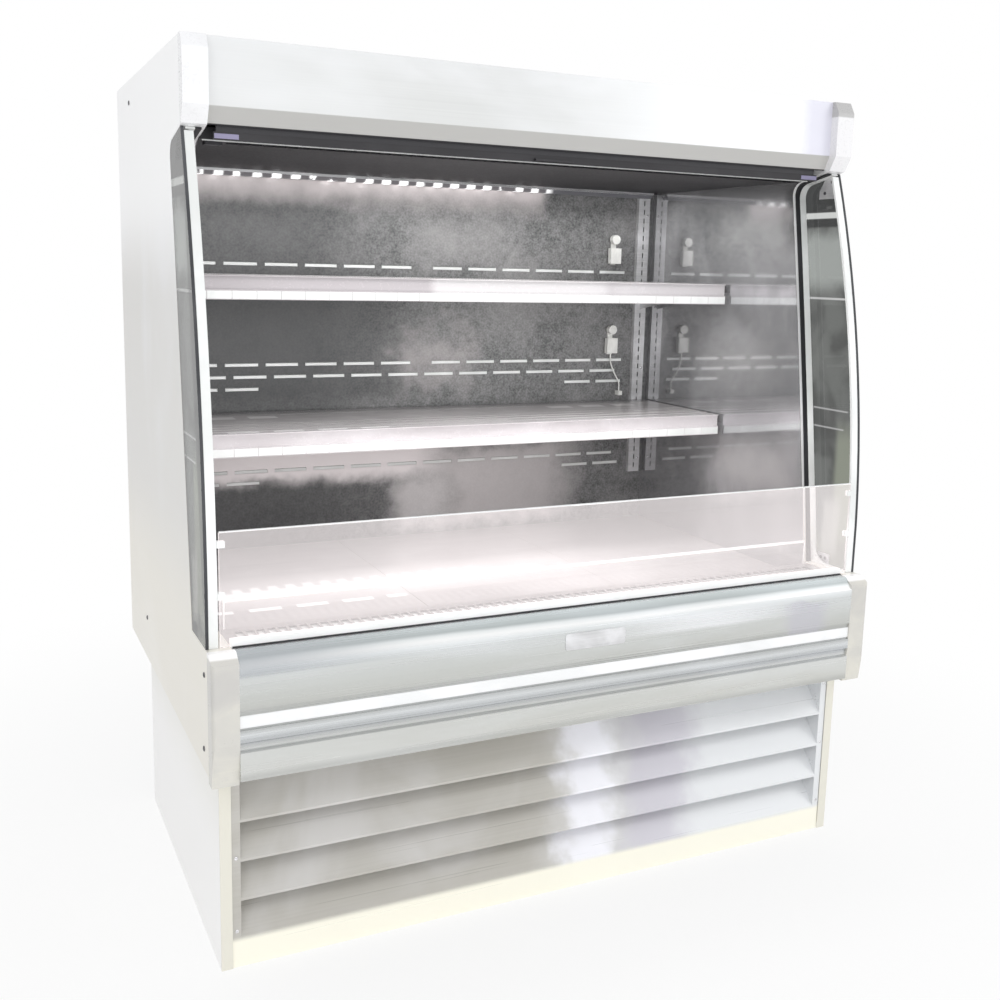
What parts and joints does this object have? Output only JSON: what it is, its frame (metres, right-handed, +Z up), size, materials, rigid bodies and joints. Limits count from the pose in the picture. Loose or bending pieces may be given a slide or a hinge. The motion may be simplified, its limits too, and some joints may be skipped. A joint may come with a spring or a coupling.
{
  "type": "open multideck display fridge",
  "caption": "Low open-front refrigerated display cabinet with bowed glass side wings, slotted back wall, two shelves, front riser glass, bumper and louvred machine base.",
  "frame": {"origin": "on the floor, under the middle of the cabinet's bounding box", "axes": "+Z up; the open front faces -Y; +X to the right as seen from the front"},
  "size_m": [1.524, 0.985, 1.735],
  "materials": {
    "outer_skin": "pale satin stainless",
    "cap_paint": "gloss white",
    "fascia_skin": "bright satin",
    "mirror_liner": "polished",
    "wall_steel": "mottled satin",
    "shelf_paint": "satin pale grey",
    "deck_steel": "satin",
    "clear_glass": "tempered",
    "clear_stop": "clear",
    "white_trim": "white",
    "black_gasket": "matt",
    "white_strip": "satin white",
    "bumper_skin": "bright satin",
    "louvre_steel": "satin",
    "dark_ceiling": "satin dark",
    "lamp_lens": "diffuser",
    "bracket_zinc": "zinc plated",
    "socket_white": "white",
    "tub_plastic": "moulded",
    "frame_paint": "black",
    "galvanised": "galvanised",
    "compressor_black": "black",
    "coil_fins": "finned",
    "fan_blade": "black",
    "motor_case": "cast",
    "copper_pipe": "copper",
    "drain_plastic": "black",
    "curtain_cloth": "silvered woven",
    "curtain_metal": "anodised",
    "switch_plastic": "dark violet grey"
  },
  "bodies": {
    "cabinet": {"back_panel": "outer_skin", "base_back_panel": "galvanised", "base_rails": "frame_paint", "base_side_left": "outer_skin", "base_side_right": "outer_skin", "bumper_ends": "cap_paint", "bumper_fascia": "bumper_skin", "bumper_strip": "white_strip", "canopy_caps": "cap_paint", "canopy_fascia": "fascia_skin", "ceiling_panel": "dark_ceiling", "compressor": "compressor_black", "condenser_coil": "coil_fins", "condenser_fan_motor": "motor_case", "condenser_shroud": "galvanised", "curtain": "curtain_cloth", "curtain_cassette": "curtain_metal", "deck_pans": "deck_steel", "discharge_honeycomb": "dark_ceiling", "drain_pan": "drain_plastic", "duct_panel": "wall_steel", "electrical_box": "galvanised", "end_panel_left": "outer_skin", "end_panel_right": "outer_skin", "evaporator_coil": "coil_fins", "evaporator_fan_motors": "motor_case", "evaporator_fan_plate": "galvanised", "front_glass": "clear_glass", "glass_channel": "white_trim", "glass_clips": "white_trim", "insulated_tub": "tub_plastic", "lamp_sockets": "socket_white", "led_fixture": "curtain_metal", "led_lens": "lamp_lens", "louvre_panel": "louvre_steel", "machine_tray": "galvanised", "price_rails": "white_trim", "product_stop": "clear_stop", "refrigerant_lines": "copper_pipe", "return_grille": "deck_steel", "roof_panel": "outer_skin", "shelf_brackets": "bracket_zinc", "shelf_lower": "shelf_paint", "shelf_standards": "bracket_zinc", "shelf_upper": "shelf_paint", "side_liners": "mirror_liner", "socket_lead": "socket_white", "stop_channel": "curtain_metal", "switch_bezel": "switch_plastic", "wing_brackets": "bracket_zinc", "wing_channels": "white_trim", "wing_edge_trims": "white_trim", "wing_gaskets": "black_gasket", "wing_glasses": "clear_glass"},
    "condenser_fan": {"condenser_fan": "fan_blade"},
    "evaporator_fan_left": {"evaporator_fan_left": "fan_blade"},
    "evaporator_fan_right": {"evaporator_fan_right": "fan_blade"},
    "switch_rocker": {"switch_rocker": "switch_plastic"},
    "curtain_roller": {"curtain_roller": "curtain_metal"},
    "curtain_bar": {"curtain_bar": "curtain_metal"}
  },
  "joints": [
    {"name": "condenser_fan_spin", "type": "hinge", "parent": "cabinet", "child": "condenser_fan", "pos_m": [-0.25, -0.246, 0.187], "axis": [0, 1, 0], "continuous": true},
    {"name": "evaporator_fan_left_spin", "type": "hinge", "parent": "cabinet", "child": "evaporator_fan_left", "pos_m": [-0.33, -0.16175, 0.5296], "axis": [0, 1, 0], "continuous": true},
    {"name": "evaporator_fan_right_spin", "type": "hinge", "parent": "cabinet", "child": "evaporator_fan_right", "pos_m": [0.33, -0.16175, 0.5296], "axis": [0, 1, 0], "continuous": true},
    {"name": "switch_rock", "type": "hinge", "parent": "cabinet", "child": "switch_rocker", "pos_m": [-0.686, -0.213, 1.558], "axis": [0, 1, 0], "range_deg": [-8, 8]},
    {"name": "curtain_pull", "type": "slide", "parent": "cabinet", "child": "curtain_bar", "axis": [0, 0, -1], "range_m": [0, 0.84], "stiffness_N_per_m": 12, "springref_m": -1, "deforming": ["curtain"]},
    {"name": "roller_turn", "type": "hinge", "parent": "cabinet", "child": "curtain_roller", "pos_m": [0, -0.271, 1.611], "axis": [1, 0, 0], "range_deg": [-5, 3214]}
  ],
  "couplings": [
    {"joint": "roller_turn", "follows": "curtain_pull", "rad_per_m": 66.667}
  ]
}
